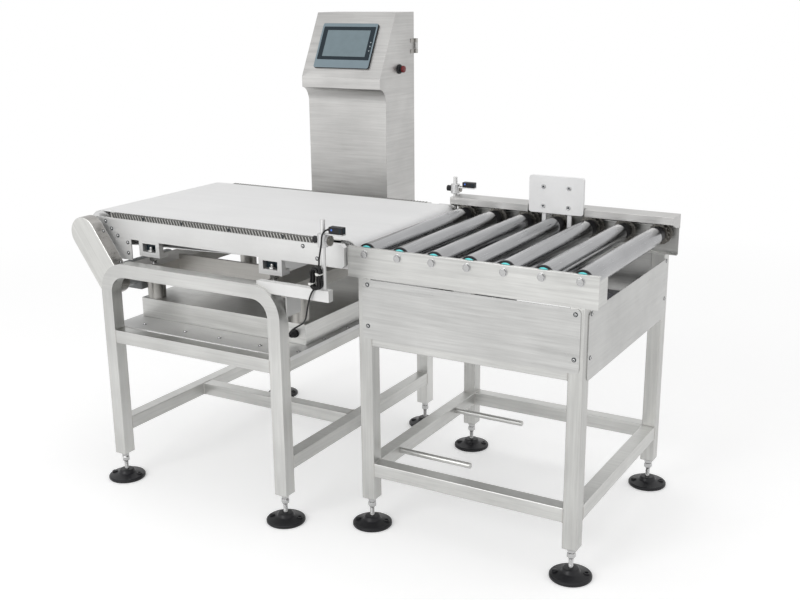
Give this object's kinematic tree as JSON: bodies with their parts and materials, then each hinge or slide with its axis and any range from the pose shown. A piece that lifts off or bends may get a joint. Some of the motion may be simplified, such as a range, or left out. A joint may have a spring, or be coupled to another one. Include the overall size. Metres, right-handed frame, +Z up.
{
  "type": "checkweigher",
  "caption": "Belt checkweigher on a stainless stand with a console column, and a powered roller outfeed whose pusher slides rejected packs off.",
  "frame": {"origin": "on the floor, under the middle of the machine's box without its sensor lead", "axes": "+X along the travel, from the belt's drive drum to the last roller; +Y from the operator's front to the console column; +Z up"},
  "size_m": [1.5635, 1.0388, 1.304],
  "materials": {
    "steel_frame": "linen-grained and brushed stainless tube, satin",
    "steel_sheet": "fine brushed stainless sheet with broad soft reflections",
    "steel_plate": "bead-blasted stainless plate, pale satin",
    "fastener_steel": "bright stainless fasteners",
    "foot_plastic": "black reinforced nylon pad on a stainless stud",
    "roller_steel": "turned and polished stainless tube",
    "axle_steel": "drawn bright steel bar",
    "chain_steel": "oiled roller chain",
    "load_cell_alloy": "machined aluminium, clear anodised",
    "belt_cloth": "white polyurethane food belt, faint weave",
    "drive_rubber": "black toothed drive belt",
    "motor_paint": "dark grey paint",
    "sensor_steel": "satin stainless bar and posts",
    "black_plastic": "moulded black plastic, fine texture",
    "lead_jacket": "black sensor lead jacket",
    "panel_plastic": "dark blue-grey moulded bezel with a dark screen",
    "switch_red": "red moulded switch head",
    "pusher_white": "white powder coat",
    "cylinder_alloy": "dark anodised extrusion on stainless cross bars"
  },
  "bodies": {
    "frame": {"fasteners": "fastener_steel", "weigh_hoops": "steel_frame", "weigh_rails": "steel_frame", "instrument_pan": "steel_sheet", "load_cell_box": "steel_sheet", "load_cell": "load_cell_alloy", "load_frame": "steel_plate", "deck_brackets": "steel_plate", "deck_side_plates": "steel_plate", "slider_bed": "steel_plate", "deck_end_plates": "steel_plate", "edge_strips": "steel_plate", "weigh_belt": "belt_cloth", "drive_motor": "motor_paint", "timing_belt": "drive_rubber", "drive_cover": "steel_sheet", "sensor_mounts": "sensor_steel", "sensor_clamps": "black_plastic", "light_sensors": "black_plastic", "sensor_lead": "lead_jacket", "lead_hank": "lead_jacket", "cable_gland": "black_plastic", "column_shell": "steel_sheet", "door_hinges": "fastener_steel", "touch_panel": "panel_plastic", "switch_collar": "black_plastic", "transfer_legs": "steel_frame", "transfer_rails": "steel_frame", "skirt_panels": "steel_sheet", "roller_rails": "steel_plate", "roller_axles": "axle_steel", "chain_guard": "steel_sheet", "drive_chains": "chain_steel", "roller_motor": "motor_paint", "pusher_cylinder": "cylinder_alloy"},
    "weigh_foot_fl": {"weigh_foot_fl": "foot_plastic"},
    "weigh_foot_fr": {"weigh_foot_fr": "foot_plastic"},
    "weigh_foot_rl": {"weigh_foot_rl": "foot_plastic"},
    "weigh_foot_rr": {"weigh_foot_rr": "foot_plastic"},
    "transfer_foot_fl": {"transfer_foot_fl": "foot_plastic"},
    "transfer_foot_fr": {"transfer_foot_fr": "foot_plastic"},
    "transfer_foot_rl": {"transfer_foot_rl": "foot_plastic"},
    "transfer_foot_rr": {"transfer_foot_rr": "foot_plastic"},
    "roller_1": {"roller_1": "roller_steel"},
    "roller_2": {"roller_2": "roller_steel"},
    "roller_3": {"roller_3": "roller_steel"},
    "roller_4": {"roller_4": "roller_steel"},
    "roller_5": {"roller_5": "roller_steel"},
    "roller_6": {"roller_6": "roller_steel"},
    "roller_7": {"roller_7": "roller_steel"},
    "drive_drum": {"drive_drum": "roller_steel"},
    "idler_roller": {"idler_roller": "roller_steel"},
    "motor_pulley": {"motor_pulley": "axle_steel"},
    "pusher": {"pusher_plate": "pusher_white", "pusher_carriage": "pusher_white"},
    "power_switch": {"power_switch": "switch_red"},
    "column_door": {"column_door": "steel_sheet"},
    "door_latch": {"door_latch": "fastener_steel"},
    "front_clamp_knob": {"front_clamp_knob": "black_plastic"},
    "rear_clamp_knob": {"rear_clamp_knob": "black_plastic"}
  },
  "joints": [
    {"name": "weigh_foot_fl_height", "type": "slide", "parent": "frame", "child": "weigh_foot_fl", "axis": [0, 0, -1], "range_m": [0, 0.03]},
    {"name": "weigh_foot_fr_height", "type": "slide", "parent": "frame", "child": "weigh_foot_fr", "axis": [0, 0, -1], "range_m": [0, 0.03]},
    {"name": "weigh_foot_rl_height", "type": "slide", "parent": "frame", "child": "weigh_foot_rl", "axis": [0, 0, -1], "range_m": [0, 0.03]},
    {"name": "weigh_foot_rr_height", "type": "slide", "parent": "frame", "child": "weigh_foot_rr", "axis": [0, 0, -1], "range_m": [0, 0.03]},
    {"name": "transfer_foot_fl_height", "type": "slide", "parent": "frame", "child": "transfer_foot_fl", "axis": [0, 0, -1], "range_m": [0, 0.03]},
    {"name": "transfer_foot_fr_height", "type": "slide", "parent": "frame", "child": "transfer_foot_fr", "axis": [0, 0, -1], "range_m": [0, 0.03]},
    {"name": "transfer_foot_rl_height", "type": "slide", "parent": "frame", "child": "transfer_foot_rl", "axis": [0, 0, -1], "range_m": [0, 0.03]},
    {"name": "transfer_foot_rr_height", "type": "slide", "parent": "frame", "child": "transfer_foot_rr", "axis": [0, 0, -1], "range_m": [0, 0.03]},
    {"name": "roller_1_spin", "type": "hinge", "parent": "frame", "child": "roller_1", "pos_m": [0.17125, -0.12793, 0.745], "axis": [0, 1, 0], "continuous": true},
    {"name": "roller_2_spin", "type": "hinge", "parent": "frame", "child": "roller_2", "pos_m": [0.26525, -0.12793, 0.745], "axis": [0, 1, 0], "continuous": true},
    {"name": "roller_3_spin", "type": "hinge", "parent": "frame", "child": "roller_3", "pos_m": [0.35925, -0.12793, 0.745], "axis": [0, 1, 0], "continuous": true},
    {"name": "roller_4_spin", "type": "hinge", "parent": "frame", "child": "roller_4", "pos_m": [0.45325, -0.12793, 0.745], "axis": [0, 1, 0], "continuous": true},
    {"name": "roller_5_spin", "type": "hinge", "parent": "frame", "child": "roller_5", "pos_m": [0.54725, -0.12793, 0.745], "axis": [0, 1, 0], "continuous": true},
    {"name": "roller_6_spin", "type": "hinge", "parent": "frame", "child": "roller_6", "pos_m": [0.64125, -0.12793, 0.745], "axis": [0, 1, 0], "continuous": true},
    {"name": "roller_7_spin", "type": "hinge", "parent": "frame", "child": "roller_7", "pos_m": [0.73525, -0.12793, 0.745], "axis": [0, 1, 0], "continuous": true},
    {"name": "drum_spin", "type": "hinge", "parent": "frame", "child": "drive_drum", "pos_m": [-0.73175, -0.10792, 0.723], "axis": [0, 1, 0], "continuous": true},
    {"name": "idler_spin", "type": "hinge", "parent": "frame", "child": "idler_roller", "pos_m": [0.10625, -0.10792, 0.738], "axis": [0, 1, 0], "continuous": true},
    {"name": "motor_pulley_spin", "type": "hinge", "parent": "frame", "child": "motor_pulley", "pos_m": [-0.65075, -0.42592, 0.592], "axis": [0, 1, 0], "continuous": true},
    {"name": "pusher_stroke", "type": "slide", "parent": "frame", "child": "pusher", "axis": [0, -1, 0], "range_m": [0, 0.4]},
    {"name": "power_switch_press", "type": "slide", "parent": "frame", "child": "power_switch", "axis": [-1, 0, 0], "range_m": [0, 0.004], "stiffness_N_per_m": 600},
    {"name": "column_door_swing", "type": "hinge", "parent": "frame", "child": "column_door", "pos_m": [-0.18675, 0.51443, 0.865], "axis": [0, 0, -1], "range_deg": [0, 110]},
    {"name": "door_latch_turn", "type": "hinge", "parent": "column_door", "child": "door_latch", "pos_m": [-0.44775, 0.50808, 0.865], "axis": [0, -1, 0], "range_deg": [0, 90]},
    {"name": "front_knob_turn", "type": "hinge", "parent": "frame", "child": "front_clamp_knob", "pos_m": [0.07925, -0.46592, 0.7885], "axis": [-1, 0, 0], "range_deg": [0, 360]},
    {"name": "rear_knob_turn", "type": "hinge", "parent": "frame", "child": "rear_clamp_knob", "pos_m": [0.09525, 0.20608, 0.8105], "axis": [-1, 0, 0], "range_deg": [0, 360]}
  ],
  "couplings": [
    {"joint": "roller_2_spin", "follows": "roller_1_spin", "ratio": 1},
    {"joint": "roller_3_spin", "follows": "roller_1_spin", "ratio": 1},
    {"joint": "roller_4_spin", "follows": "roller_1_spin", "ratio": 1},
    {"joint": "roller_5_spin", "follows": "roller_1_spin", "ratio": 1},
    {"joint": "roller_6_spin", "follows": "roller_1_spin", "ratio": 1},
    {"joint": "roller_7_spin", "follows": "roller_1_spin", "ratio": 1},
    {"joint": "idler_spin", "follows": "drum_spin", "ratio": 1.4815},
    {"joint": "motor_pulley_spin", "follows": "drum_spin", "ratio": 1.4695}
  ]
}
